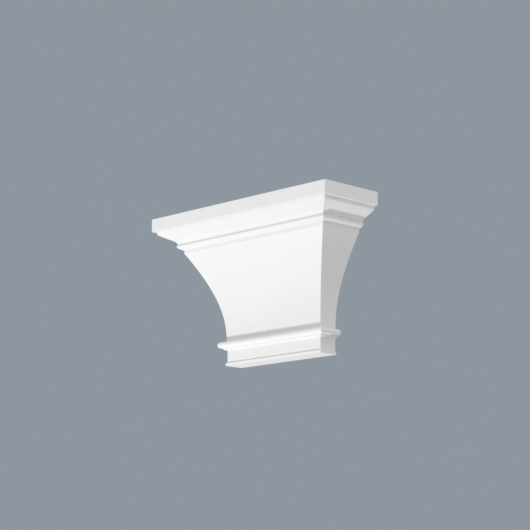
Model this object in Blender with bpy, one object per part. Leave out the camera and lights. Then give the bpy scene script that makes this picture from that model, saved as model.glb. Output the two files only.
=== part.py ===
"""Pilaster capital: one moulded block that crowns a shallow pilaster, flat against the wall.

Its outline runs round the front and both sides, and is mitred at the two front corners.
Sizes are in metres. The back lies in the plane Y = 0, the front looks along -Y, +Z is up,
and the origin is the middle of the flat back. A reach is how far a moulding stands out
beyond the neck at the sides; a rise is its height.
"""

import math

import bmesh
import bpy
from mathutils import Vector
from mathutils.geometry import interpolate_bezier

# Neck, the plain block that carries on the line of the shaft below
NECK_WIDTH = 0.1300
NECK_DEPTH = 0.0208
NECK_RISE = 0.0126

# Every moulding stands out less at the front than at the sides, by this share
FRONT_SHARE = 0.93

# Lip at the foot
LIP_REACH = 0.0013
LIP_RISE = 0.0029

# Lower bead, on a small fillet with a sloping underside, and a cove that turns up into the body
LOWER_FILLET_REACH = 0.0030
LOWER_FILLET_SLOPE = 0.0009
LOWER_FILLET_RISE = 0.0014
LOWER_BEAD_REACH = 0.0076
LOWER_BEAD_RADIUS = 0.00325
COVE_RADIUS = 0.0016

# Flared body: upright at its foot, leaning out at its head
BODY_FOOT_REACH = 0.0007
BODY_FLARE = 0.0322
BODY_RISE = 0.0907
BODY_HEAD_LEAN = math.radians(32.0)
BODY_FOOT_PULL = 0.25
BODY_HEAD_PULL = 0.55

# Fillet at the head of the body, and the beaked bead above it
HEAD_FILLET_RISE = 0.00275
UPPER_BEAD_REACH = 0.0046
UPPER_BEAD_RISE = 0.00635
UPPER_BEAD_UNDER_ANGLE = math.radians(28.0)
UPPER_BEAD_UNDER_PULL = 0.0055
UPPER_BEAD_TOP_ANGLE = math.radians(45.0)
UPPER_BEAD_TOP_PULL = 0.0041

# Narrow quirk, then the ogee and its leaning fillet
QUIRK_REACH = 0.0006
QUIRK_RISE = 0.00075
OGEE_REACH = 0.0149
OGEE_RISE = 0.0095
OGEE_FOOT_LEAN = math.radians(5.0)
OGEE_FOOT_PULL = 0.0030
OGEE_HEAD_LEAN = math.radians(56.0)
OGEE_HEAD_PULL = 0.0080
OGEE_FILLET_REACH = 0.00099
OGEE_FILLET_RISE = 0.00325

# Abacus, the square-edged slab on top
ABACUS_REACH = 0.00351
ABACUS_RISE = 0.0133

# Flats per curve
BEAD_STEPS = 14
COVE_STEPS = 4
BODY_STEPS = 30
OGEE_STEPS = 16
SMOOTH_BELOW = math.radians(22.0)

WHITE = (0.86, 0.86, 0.85, 1.0)
ROUGHNESS = 0.55


def clear_scene():
    for old in list(bpy.data.objects):
        bpy.data.objects.remove(old, do_unlink=True)


def run(outline, reach, rise):
    """A straight run from the last point of the outline."""
    outline.append(outline[-1] + Vector((reach, rise)))


def arc(outline, centre, radius, start, end, steps):
    """Points of an arc; the angles are in degrees from the outward direction."""
    for step in range(steps + 1):
        angle = math.radians(start + (end - start) * step / steps)
        point = centre + Vector((math.cos(angle), math.sin(angle))) * radius
        if (point - outline[-1]).length > 1e-7:
            outline.append(point)


def curve(outline, end, first_pull, last_pull, steps):
    """A smooth curve from the last point to the end, drawn out by a pull at each end."""
    start = outline[-1]
    points = interpolate_bezier(start, start + first_pull, end + last_pull, end, steps + 1)
    outline.extend(point.to_2d() for point in points[1:])


def foot_and_neck():
    outline = [Vector((LIP_REACH, 0.0))]
    run(outline, 0.0, LIP_RISE)
    run(outline, -LIP_REACH, 0.0)
    run(outline, 0.0, NECK_RISE)
    return outline


def lower_bead(outline):
    run(outline, LOWER_FILLET_REACH, LOWER_FILLET_SLOPE)
    run(outline, 0.0, LOWER_FILLET_RISE)
    bead_centre = Vector((LOWER_BEAD_REACH - LOWER_BEAD_RADIUS, outline[-1].y + LOWER_BEAD_RADIUS))
    arc(outline, bead_centre, LOWER_BEAD_RADIUS, -90, 90, BEAD_STEPS)
    cove_centre = Vector((BODY_FOOT_REACH + COVE_RADIUS, outline[-1].y + COVE_RADIUS))
    arc(outline, cove_centre, COVE_RADIUS, -90, -180, COVE_STEPS)


def body(outline):
    head = outline[-1] + Vector((BODY_FLARE, BODY_RISE))
    foot_pull = Vector((0.0, BODY_FOOT_PULL * BODY_RISE))
    lean = Vector((math.sin(BODY_HEAD_LEAN), math.cos(BODY_HEAD_LEAN)))
    curve(outline, head, foot_pull, -lean * BODY_HEAD_PULL * BODY_RISE, BODY_STEPS)
    run(outline, 0.0, HEAD_FILLET_RISE)


def upper_bead(outline):
    end = outline[-1] + Vector((UPPER_BEAD_REACH, UPPER_BEAD_RISE))
    under = Vector((math.cos(UPPER_BEAD_UNDER_ANGLE), math.sin(UPPER_BEAD_UNDER_ANGLE)))
    top = Vector((math.cos(UPPER_BEAD_TOP_ANGLE), -math.sin(UPPER_BEAD_TOP_ANGLE)))
    curve(outline, end, under * UPPER_BEAD_UNDER_PULL, top * UPPER_BEAD_TOP_PULL, BEAD_STEPS)


def ogee(outline):
    run(outline, 0.0, QUIRK_RISE)
    run(outline, QUIRK_REACH, 0.0)
    head = outline[-1] + Vector((OGEE_REACH, OGEE_RISE))
    foot_lean = Vector((math.sin(OGEE_FOOT_LEAN), math.cos(OGEE_FOOT_LEAN)))
    head_lean = Vector((math.sin(OGEE_HEAD_LEAN), math.cos(OGEE_HEAD_LEAN)))
    curve(outline, head, foot_lean * OGEE_FOOT_PULL, -head_lean * OGEE_HEAD_PULL, OGEE_STEPS)
    run(outline, OGEE_FILLET_REACH, OGEE_FILLET_RISE)


def abacus(outline):
    run(outline, ABACUS_REACH, 0.0)
    run(outline, 0.0, ABACUS_RISE)


def capital_outline():
    """The whole outline from foot to top, as (reach, height above the foot)."""
    outline = foot_and_neck()
    lower_bead(outline)
    body(outline)
    upper_bead(outline)
    ogee(outline)
    abacus(outline)
    return outline


def half_width(reach):
    return NECK_WIDTH / 2 + reach


def depth(reach):
    return NECK_DEPTH + FRONT_SHARE * reach


def foot_face(bm, reach, height):
    """A level rectangle with its back edge on the wall plane."""
    side = half_width(reach)
    front = depth(reach)
    corners = [(-side, 0.0), (side, 0.0), (side, -front), (-side, -front)]
    return bm.faces.new([bm.verts.new((x, y, height)) for x, y in corners])


def pull_up(bm, face, below, above):
    """Extrudes the top face to the next point of the outline and scales it to fit there."""
    top = bmesh.ops.extrude_discrete_faces(bm, faces=[face])["faces"][0]
    wider = half_width(above.x) / half_width(below.x)
    deeper = depth(above.x) / depth(below.x)
    bmesh.ops.translate(bm, vec=(0.0, 0.0, above.y - below.y), verts=top.verts)
    bmesh.ops.scale(bm, vec=(wider, deeper, 1.0), verts=top.verts)
    return top


def capital_mesh(outline):
    """Pulls the foot up through the whole outline; the first pull leaves the foot open to be filled."""
    bm = bmesh.new()
    face = foot_face(bm, outline[0].x, -outline[-1].y / 2)
    for below, above in zip(outline, outline[1:]):
        face = pull_up(bm, face, below, above)
    bmesh.ops.holes_fill(bm, edges=[edge for edge in bm.edges if edge.is_boundary])
    bmesh.ops.recalc_face_normals(bm, faces=bm.faces)
    mesh = bpy.data.meshes.new("pilaster_capital")
    bm.to_mesh(mesh)
    bm.free()
    mesh.shade_smooth()
    mesh.set_sharp_from_angle(angle=SMOOTH_BELOW)
    return mesh


def white_material():
    material = bpy.data.materials.new("primed_white")
    material.use_nodes = True
    shader = material.node_tree.nodes["Principled BSDF"]
    shader.inputs["Base Color"].default_value = WHITE
    shader.inputs["Roughness"].default_value = ROUGHNESS
    shader.inputs["Metallic"].default_value = 0.0
    return material


def main():
    clear_scene()
    mesh = capital_mesh(capital_outline())
    mesh.materials.append(white_material())
    capital = bpy.data.objects.new("pilaster_capital", mesh)
    bpy.context.scene.collection.objects.link(capital)


main()
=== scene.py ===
# %% [markdown]
# # A pilaster capital in primed white foam
#
# The object is the capital of a shallow pilaster: one moulded block, glued up by its flat back, well
# above eye level. From foot to top its outline has a lip, a neck, a bead, a long flared body, a
# second bead, an ogee and a square slab, and it runs round the front and both sides.
#
# The solid was made in another script. This one loads it as a fixed frame and gives it its looks:
# softened arrises, a sprayed primer, a bare back, a camera that looks up at it, and soft light.

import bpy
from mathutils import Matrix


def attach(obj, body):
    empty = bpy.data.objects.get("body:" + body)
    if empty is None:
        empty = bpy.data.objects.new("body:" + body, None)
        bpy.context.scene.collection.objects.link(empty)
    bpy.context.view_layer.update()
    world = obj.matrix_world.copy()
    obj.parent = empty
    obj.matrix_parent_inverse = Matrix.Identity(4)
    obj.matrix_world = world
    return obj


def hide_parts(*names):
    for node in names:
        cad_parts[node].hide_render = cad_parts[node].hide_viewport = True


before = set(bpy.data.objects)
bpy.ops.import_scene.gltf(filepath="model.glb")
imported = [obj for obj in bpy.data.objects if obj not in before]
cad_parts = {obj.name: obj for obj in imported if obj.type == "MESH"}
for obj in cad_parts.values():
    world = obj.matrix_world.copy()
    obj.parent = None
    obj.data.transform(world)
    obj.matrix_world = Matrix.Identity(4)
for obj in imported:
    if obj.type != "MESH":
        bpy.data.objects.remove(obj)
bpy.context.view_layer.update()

# %% [markdown]
# ## Step 1: a clean copy of the solid
#
# The solid arrives as loose triangles, each with three corners of its own. It is right in size and
# shape, so it isn't drawn again: a copy is merged, and triangles that lie in one plane are dissolved
# into the flat faces that the block really has. Only then does each arris become a single line of
# edges that a bevel can follow.

# %% Copy, merge and dissolve
import math

import bmesh
import bpy

NODE = "pilaster_capital"
MERGE_DISTANCE = 1e-6
COPLANAR = math.radians(0.03)

block = bmesh.new()
block.from_mesh(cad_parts[NODE].data)
bmesh.ops.remove_doubles(block, verts=block.verts, dist=MERGE_DISTANCE)
triangles = len(block.faces)
bmesh.ops.dissolve_limit(block, angle_limit=COPLANAR, verts=block.verts, edges=block.edges)
print("triangles:", triangles, "flat faces left:", len(block.faces))

# %% [markdown]
# ## Step 2: softened arrises
#
# A mould can't give a knife edge, and sanding and primer round it further. Each arris is rounded by
# a quarter of a millimetre here, as much as the narrowest flats beside them leave room for. That
# small round is what catches the light as a thin bright line along each moulding.
#
# The edges are picked by their angle. Those of the beads and the body turn by less than 20 degrees
# from flat to flat and stay as they are, to be shaded as smooth. Inner corners stay sharp, because
# the mould's own edge makes them. The faces of the bevel are remembered in an attribute, so that the
# finish can treat the arrises on their own.

# %% Bevel the outer arrises
SHARP_ANGLE = math.radians(22)
ARRIS_WIDTH = 0.00024
ARRIS_SEGMENTS = 3
ARRIS_PROFILE = 0.5
KEEP_MATERIAL = -1


def is_sharp(edge):
    return edge.calc_face_angle(0.0) > SHARP_ANGLE


arrises = [edge for edge in block.edges if is_sharp(edge) and edge.is_convex]
arris_mark = block.faces.layers.float.new("arris")
rounded = bmesh.ops.bevel(
    block, geom=arrises, offset=ARRIS_WIDTH, affect="EDGES", segments=ARRIS_SEGMENTS,
    profile=ARRIS_PROFILE, material=KEEP_MATERIAL, clamp_overlap=True,
)
for face in rounded["faces"]:
    face[arris_mark] = 1.0
print("arrises rounded:", len(arrises), "faces in the bevel:", len(rounded["faces"]))

# %% Make the capital
CREASE_ANGLE = math.radians(40)

capital_mesh = bpy.data.meshes.new("capital")
block.to_mesh(capital_mesh)
block.free()
capital_mesh.shade_smooth()
capital_mesh.set_sharp_from_angle(angle=CREASE_ANGLE)
capital = bpy.data.objects.new("capital", capital_mesh)
bpy.context.scene.collection.objects.link(capital)

flats = capital.modifiers.new("flats stay flat", "WEIGHTED_NORMAL")
flats.mode = "FACE_AREA"
flats.keep_sharp = True

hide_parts(NODE)
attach(capital, "root")
print("capital:", len(capital_mesh.polygons), "faces")

# %% [markdown]
# ## Step 3: the patterns of the finish
#
# The real capital is rigid foam with a white primer, sprayed on in the factory. From a few steps away
# it is plain white. Close by, three things show: the fine grain of the dried spray, a faint
# cloudiness where the coat is thicker or thinner, and arrises that sanding has left a little smoother.
#
# An image could carry these, but it would have to be unwrapped, and would blur close by. Here each
# one is a shader node group with named inputs and outputs, so that the front, the back and the floor
# can each use it with sizes of their own. The patterns read Object coordinates, which are in metres,
# so a grain of half a millimetre is half a millimetre wherever it lies.

# %% Helpers for node trees
def put(tree, socket, value):
    """Links a socket to another one, or sets its number."""
    if isinstance(value, bpy.types.NodeSocket):
        tree.links.new(value, socket)
    else:
        socket.default_value = value


def calculate(tree, operation, first, second):
    node = tree.nodes.new("ShaderNodeMath")
    node.operation = operation
    put(tree, node.inputs[0], first)
    put(tree, node.inputs[1], second)
    return node.outputs["Value"]


def remap(tree, value, low, high, new_low, new_high):
    """Stretches the range low to high over new_low to new_high, and stops there."""
    node = tree.nodes.new("ShaderNodeMapRange")
    node.clamp = True
    for name, setting in (
        ("Value", value), ("From Min", low), ("From Max", high), ("To Min", new_low), ("To Max", new_high),
    ):
        put(tree, node.inputs[name], setting)
    return node.outputs["Result"]


def cloud_noise(tree, coordinates, size, detail):
    """Noise whose blobs are about the given size across."""
    node = tree.nodes.new("ShaderNodeTexNoise")
    tree.links.new(coordinates, node.inputs["Vector"])
    put(tree, node.inputs["Scale"], calculate(tree, "DIVIDE", 1.0, size))
    node.inputs["Detail"].default_value = detail
    return node.outputs["Fac"]


def object_place(tree):
    return tree.nodes.new("ShaderNodeTexCoord").outputs["Object"]


def new_group(name, inputs, output):
    """An empty node group with number inputs, given as name and default, and one number output."""
    group = bpy.data.node_groups.new(name, "ShaderNodeTree")
    for label, value in inputs.items():
        socket = group.interface.new_socket(label, in_out="INPUT", socket_type="NodeSocketFloat")
        socket.default_value = value
    group.interface.new_socket(output, in_out="OUTPUT", socket_type="NodeSocketFloat")
    return group, group.nodes.new("NodeGroupInput").outputs, group.nodes.new("NodeGroupOutput").inputs


# %% Group: spray grain
GRAIN_SIZE = 0.0005
COARSE_TIMES = 4.0
COARSE_SHARE = 0.5
FINE_DETAIL = 2.0
COARSE_DETAIL = 1.0

grain_inputs = {"Grain Size": GRAIN_SIZE, "Coarse Share": COARSE_SHARE}
spray_grain, given, result = new_group("spray grain", grain_inputs, "Height")
place = object_place(spray_grain)
fine = cloud_noise(spray_grain, place, given["Grain Size"], FINE_DETAIL)
coarse_size = calculate(spray_grain, "MULTIPLY", given["Grain Size"], COARSE_TIMES)
coarse = cloud_noise(spray_grain, place, coarse_size, COARSE_DETAIL)
coarse_part = calculate(spray_grain, "MULTIPLY", coarse, given["Coarse Share"])
spray_grain.links.new(calculate(spray_grain, "ADD", fine, coarse_part), result["Height"])
print("spray grain:", len(spray_grain.nodes), "nodes")

# %% Group: cloudiness
CLOUD_SIZE = 0.05
CLOUD_DETAIL = 3.0
NOISE_LOW = 0.3
NOISE_HIGH = 0.7

cloudiness, given, result = new_group("cloudiness", {"Cloud Size": CLOUD_SIZE}, "Mask")
clouds = cloud_noise(cloudiness, object_place(cloudiness), given["Cloud Size"], CLOUD_DETAIL)
cloudiness.links.new(remap(cloudiness, clouds, NOISE_LOW, NOISE_HIGH, 0.0, 1.0), result["Mask"])
print("cloudiness:", len(cloudiness.nodes), "nodes")

# %% Group: arrises smoothed by sanding, with a painted highlight
PATCH_SIZE = 0.012
PATCH_DETAIL = 2.0
LEAST_SANDED_HIGHLIT = 0.3

# This mask marks the arrises for sanding wear and for a painted highlight along them.
sanded_highlit_arris, given, result = new_group("sanded arris", {"Patch Size": PATCH_SIZE}, "Mask")
mark = sanded_highlit_arris.nodes.new("ShaderNodeAttribute")
mark.attribute_name = "arris"
patches = cloud_noise(sanded_highlit_arris, object_place(sanded_highlit_arris), given["Patch Size"], PATCH_DETAIL)
patch_mask = remap(sanded_highlit_arris, patches, NOISE_LOW, NOISE_HIGH, LEAST_SANDED_HIGHLIT, 1.0)
sanded_highlit_arris.links.new(calculate(sanded_highlit_arris, "MULTIPLY", mark.outputs["Fac"], patch_mask), result["Mask"])
print("sanded arris:", len(sanded_highlit_arris.nodes), "nodes")

# %% [markdown]
# ## Step 4: the finishes
#
# The primer is a satin white with no tint. Its colour and its roughness both move with the clouds,
# by less than a tenth. Where sanding has rubbed the arrises they are a touch smoother, and a touch
# whiter: partly the sanding, partly a painted highlight along each arris. The grain goes into
# a Bump node, with a height of a few hundredths of a millimetre.

# %% Helpers for materials
def new_material(name):
    material = bpy.data.materials.new(name)
    material.use_nodes = True
    return material, material.node_tree, material.node_tree.nodes["Principled BSDF"].inputs


def pattern(tree, group, **settings):
    """Places a group in a material; the settings are its inputs, with underscores for spaces."""
    node = tree.nodes.new("ShaderNodeGroup")
    node.node_tree = group
    for name, value in settings.items():
        node.inputs[name.replace("_", " ")].default_value = value
    return node.outputs[0]


def between(tree, mask, first, second):
    """A colour from first to second, by the mask."""
    node = tree.nodes.new("ShaderNodeMix")
    node.data_type = "RGBA"
    colours = [socket for socket in node.inputs if socket.type == "RGBA"]
    put(tree, node.inputs["Factor"], mask)
    put(tree, colours[0], first)
    put(tree, colours[1], second)
    return [socket for socket in node.outputs if socket.type == "RGBA"][0]


def bump(tree, height, strength, distance):
    node = tree.nodes.new("ShaderNodeBump")
    node.inputs["Strength"].default_value = strength
    node.inputs["Distance"].default_value = distance
    tree.links.new(height, node.inputs["Height"])
    return node.outputs["Normal"]


# %% Primed white
THIN_COAT = (0.848, 0.848, 0.848, 1.0)
THICK_COAT = (0.868, 0.868, 0.868, 1.0)
SANDED_HIGHLIT_WHITE = (0.885, 0.885, 0.885, 1.0)
THIN_ROUGHNESS = 0.54
THICK_ROUGHNESS = 0.46
SANDING_POLISH = 0.12
COAT_BUMP = 0.3
COAT_RELIEF = 0.00004

primed_white, tree, shader = new_material("primed_white")
coat = pattern(tree, cloudiness, Cloud_Size=CLOUD_SIZE)
sanded_highlit = pattern(tree, sanded_highlit_arris, Patch_Size=PATCH_SIZE)
colour = between(tree, coat, THIN_COAT, THICK_COAT)
# Whiter arrises: partly sanding wear, partly a painted highlight along each arris.
put(tree, shader["Base Color"], between(tree, sanded_highlit, colour, SANDED_HIGHLIT_WHITE))
coat_roughness = remap(tree, coat, 0.0, 1.0, THIN_ROUGHNESS, THICK_ROUGHNESS)
smoother = calculate(tree, "MULTIPLY", sanded_highlit, SANDING_POLISH)
put(tree, shader["Roughness"], calculate(tree, "SUBTRACT", coat_roughness, smoother))
grain = pattern(tree, spray_grain, Grain_Size=GRAIN_SIZE, Coarse_Share=COARSE_SHARE)
put(tree, shader["Normal"], bump(tree, grain, COAT_BUMP, COAT_RELIEF))
print("primed white:", len(tree.nodes), "nodes")

# %% [markdown]
# The back is never seen once the capital is glued up. It is the bare skin of the foam: a little
# duller and creamier than the primer, with a few pinholes where bubbles met the mould, and faint
# level strokes from the sanding that keys it for glue. The strokes are noise squeezed flat by a
# Mapping node, so that each one is long and thin. The pinholes are the middles of Voronoi cells, and
# each cell's own random colour decides whether it has one.
# Each pinhole is also darker in colour: painted shade in the hole.

# %% Bare foam of the back
FOAM_DARK = (0.770, 0.758, 0.728, 1.0)
FOAM_LIGHT = (0.805, 0.796, 0.772, 1.0)
PIT_PAINTED_SHADE = (0.62, 0.60, 0.56, 1.0)
PIT_CELL = 0.005
PIT_RADIUS = 0.085
PIT_BOTTOM = 0.042
PIT_SHARE = 0.35
PIT_DEPTH = 4.0
STROKE_SQUEEZE = (14.0, 1.0, 900.0)
SQUEEZED_SIZE = 1.0
STROKE_DETAIL = 2.0
STROKE_DEPTH = 0.8
SKIN_CLOUDS = 0.03
SKIN_ROUGHNESS = (0.68, 0.80)
FOAM_GRAIN = 0.0009
FOAM_COARSE = 0.6
SKIN_BUMP = 0.5
SKIN_RELIEF = 0.00006

bare_foam, tree, shader = new_material("bare_foam")
place = object_place(tree)
cells = tree.nodes.new("ShaderNodeTexVoronoi")
cells.inputs["Scale"].default_value = 1.0 / PIT_CELL
tree.links.new(place, cells.inputs["Vector"])
hollow = remap(tree, cells.outputs["Distance"], PIT_BOTTOM, PIT_RADIUS, 1.0, 0.0)
chance = tree.nodes.new("ShaderNodeSeparateColor")
tree.links.new(cells.outputs["Color"], chance.inputs["Color"])
chosen = calculate(tree, "LESS_THAN", chance.outputs["Red"], PIT_SHARE)
pits = calculate(tree, "MULTIPLY", hollow, chosen)
squeeze = tree.nodes.new("ShaderNodeMapping")
squeeze.inputs["Scale"].default_value = STROKE_SQUEEZE
tree.links.new(place, squeeze.inputs["Vector"])
strokes = cloud_noise(tree, squeeze.outputs["Vector"], SQUEEZED_SIZE, STROKE_DETAIL)
skin = pattern(tree, cloudiness, Cloud_Size=SKIN_CLOUDS)
foam = between(tree, skin, FOAM_DARK, FOAM_LIGHT)
# The pinholes get a darker colour: painted shade in the holes.
put(tree, shader["Base Color"], between(tree, pits, foam, PIT_PAINTED_SHADE))
put(tree, shader["Roughness"], remap(tree, strokes, NOISE_LOW, NOISE_HIGH, *SKIN_ROUGHNESS))
grain = pattern(tree, spray_grain, Grain_Size=FOAM_GRAIN, Coarse_Share=FOAM_COARSE)
stroke_height = calculate(tree, "MULTIPLY", strokes, STROKE_DEPTH)
raised = calculate(tree, "ADD", grain, stroke_height)
sunk = calculate(tree, "MULTIPLY", pits, PIT_DEPTH)
skin_height = calculate(tree, "SUBTRACT", raised, sunk)
put(tree, shader["Normal"], bump(tree, skin_height, SKIN_BUMP, SKIN_RELIEF))
print("bare foam:", len(tree.nodes), "nodes")

# %% Give each face its finish
FACES_BACK = 0.99
BARE = 1

capital_mesh.materials.append(primed_white)
capital_mesh.materials.append(bare_foam)
for face in capital_mesh.polygons:
    if face.normal.y > FACES_BACK:
        face.material_index = BARE
print("bare faces:", sum(face.material_index for face in capital_mesh.polygons))

# %% [markdown]
# ## Step 5: the camera
#
# The capital hangs above eye level, so the camera looks up at it by 11 degrees, and stands 45 degrees
# to the right of its front. The lens is long, which keeps the level lines of the top nearly parallel.
# The numbers were worked out from the corners of the block.

# %% Camera
from mathutils import Vector

AZIMUTH = math.radians(45.25)
LOOK_UP = math.radians(11.18)
DISTANCE = 1.8136
LENS = 120.95
SENSOR_WIDTH = 36.0
AIM = Vector((-0.0319, 0.0, 0.0262))

looking = Vector((
    -math.sin(AZIMUTH) * math.cos(LOOK_UP),
    math.cos(AZIMUTH) * math.cos(LOOK_UP),
    math.sin(LOOK_UP),
))
camera = bpy.data.objects.new("camera", bpy.data.cameras.new("camera"))
camera.data.lens = LENS
camera.data.sensor_width = SENSOR_WIDTH
camera.location = AIM - DISTANCE * looking
camera.rotation_euler = looking.to_track_quat("-Z", "Y").to_euler()
bpy.context.scene.collection.objects.link(camera)
bpy.context.scene.camera = camera
print("camera, in metres:", [round(value, 3) for value in camera.location])

# %% [markdown]
# ## Step 6: a pale floor
#
# The floor of the studio lies two metres below the capital, where a real one would be. It is so wide
# that its far edge looks like a level horizon. The main view looks up and doesn't show it, but it
# sends light back up to the undersides of the mouldings.

# %% Floor
FLOOR_BELOW = 2.0
FLOOR_RADIUS = 30.0
FLOOR_SIDES = 96
FLOOR_DARK = (0.72, 0.72, 0.72, 1.0)
FLOOR_LIGHT = (0.76, 0.76, 0.76, 1.0)
FLOOR_CLOUDS = 0.6
FLOOR_ROUGHNESS = (0.62, 0.72)
FLOOR_GRAIN = 0.002
FLOOR_BUMP = 0.2
FLOOR_RELIEF = 0.0002

disc = bmesh.new()
bmesh.ops.create_circle(disc, cap_ends=True, radius=FLOOR_RADIUS, segments=FLOOR_SIDES)
bmesh.ops.translate(disc, vec=(0.0, 0.0, -FLOOR_BELOW), verts=disc.verts)
floor_mesh = bpy.data.meshes.new("floor")
disc.to_mesh(floor_mesh)
disc.free()
floor = bpy.data.objects.new("floor", floor_mesh)
bpy.context.scene.collection.objects.link(floor)

pale_floor, tree, shader = new_material("pale_floor")
wash = pattern(tree, cloudiness, Cloud_Size=FLOOR_CLOUDS)
put(tree, shader["Base Color"], between(tree, wash, FLOOR_DARK, FLOOR_LIGHT))
put(tree, shader["Roughness"], remap(tree, wash, 0.0, 1.0, *FLOOR_ROUGHNESS))
grain = pattern(tree, spray_grain, Grain_Size=FLOOR_GRAIN, Coarse_Share=COARSE_SHARE)
put(tree, shader["Normal"], bump(tree, grain, FLOOR_BUMP, FLOOR_RELIEF))
floor_mesh.materials.append(pale_floor)
print("floor:", FLOOR_BELOW, "m below the capital's middle")

# %% [markdown]
# ## Step 7: soft light
#
# The light is nearly even from all round, so the side of the block is a clear light grey. A small
# soft box, low on the left, makes the front almost white. It shines upwards, so the undersides are
# the brightest places and each bead throws its shadow up the face of the block. A large one, high
# on the right, gives the tops and the side a little light of their own. The strengths were fitted
# to how bright each moulding should be, and the plain view transform keeps those whites.
#
# The camera sees a plain blue-grey backdrop in place of the even light, so that the white outline
# stands out. The backdrop itself lights nothing, so the white keeps no tint of it.

# %% World
EVEN_COLOUR = (1.0, 1.0, 1.0, 1.0)
EVEN_LIGHT = 0.66
BACKDROP = (0.271, 0.310, 0.352, 1.0)

world = bpy.data.worlds.new("studio")
world.use_nodes = True
sky = world.node_tree
even = sky.nodes["Background"]
even.inputs["Color"].default_value = EVEN_COLOUR
even.inputs["Strength"].default_value = EVEN_LIGHT
plain = sky.nodes.new("ShaderNodeBackground")
plain.inputs["Color"].default_value = BACKDROP
rays = sky.nodes.new("ShaderNodeLightPath")
switch = sky.nodes.new("ShaderNodeMixShader")
sky.links.new(rays.outputs["Is Camera Ray"], switch.inputs["Fac"])
sky.links.new(even.outputs["Background"], switch.inputs[1])
sky.links.new(plain.outputs["Background"], switch.inputs[2])
sky.links.new(switch.outputs["Shader"], sky.nodes["World Output"].inputs["Surface"])
bpy.context.scene.world = world
bpy.context.scene.view_settings.view_transform = "Standard"

# %% Soft boxes
CENTRE = Vector((0.0, -0.04, 0.0))


def soft_box(name, azimuth, elevation, distance, size, energy):
    """A round lamp that faces the capital; azimuth 0 is straight in front, positive is to the right."""
    turn = math.radians(azimuth)
    rise = math.radians(elevation)
    towards = Vector((math.sin(turn) * math.cos(rise), -math.cos(turn) * math.cos(rise), math.sin(rise)))
    data = bpy.data.lights.new(name, "AREA")
    data.shape = "DISK"
    data.size = size
    data.energy = energy
    lamp = bpy.data.objects.new(name, data)
    lamp.location = CENTRE + distance * towards
    lamp.rotation_euler = (-towards).to_track_quat("-Z", "Y").to_euler()
    lamp.visible_camera = False
    bpy.context.scene.collection.objects.link(lamp)
    print(name, "at", [round(value, 2) for value in lamp.location])


soft_box("key", azimuth=-29, elevation=-47.3, distance=1.7, size=0.3, energy=17.0)
soft_box("right", azimuth=60, elevation=60, distance=1.8, size=0.8, energy=4.6)
